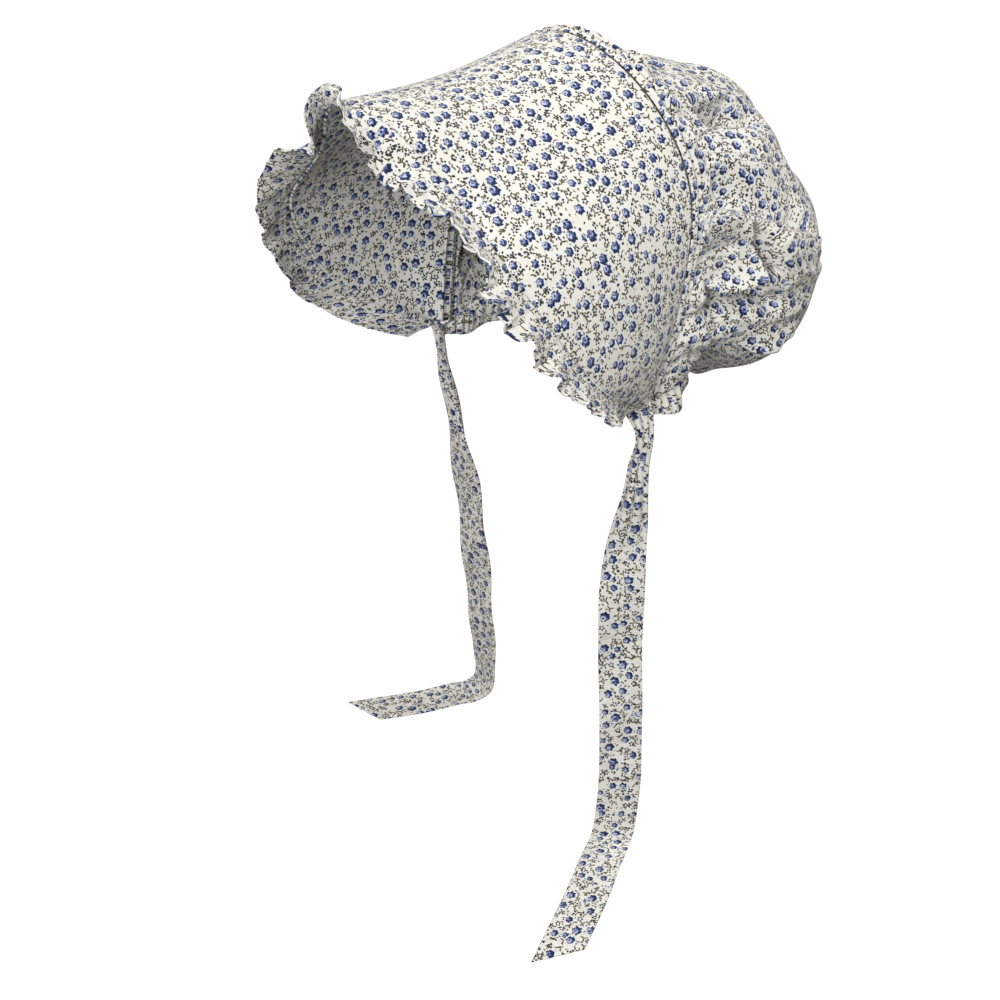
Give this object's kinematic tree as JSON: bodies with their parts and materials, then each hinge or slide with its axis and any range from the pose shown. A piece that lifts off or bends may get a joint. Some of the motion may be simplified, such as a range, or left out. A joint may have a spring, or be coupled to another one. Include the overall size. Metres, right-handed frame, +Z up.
{
  "type": "sunbonnet",
  "caption": "Gathered printed cotton sunbonnet with a stiffened brim, ruffled edge, full soft crown, nape frill and long ties that fasten under the chin.",
  "frame": {"origin": "where the top of the wearer's head touches the inside of the hood", "axes": "+Z up, the wearer faces -Y, and +X is the wearer's left"},
  "size_m": [0.3355, 0.3519, 0.58],
  "materials": {
    "stiffened_print_cotton": "matt printed calico over a stiffener",
    "print_cotton": "matt printed calico, soft",
    "stitched_print_cotton": "matt printed calico, folded and topstitched"
  },
  "bodies": {
    "root": {"brim": "stiffened_print_cotton", "brim_ruffle": "print_cotton", "seam_band": "stitched_print_cotton", "crown": "print_cotton", "nape_frill": "print_cotton", "tie_left": "print_cotton", "tie_right": "print_cotton"}
  },
  "joints": []
}
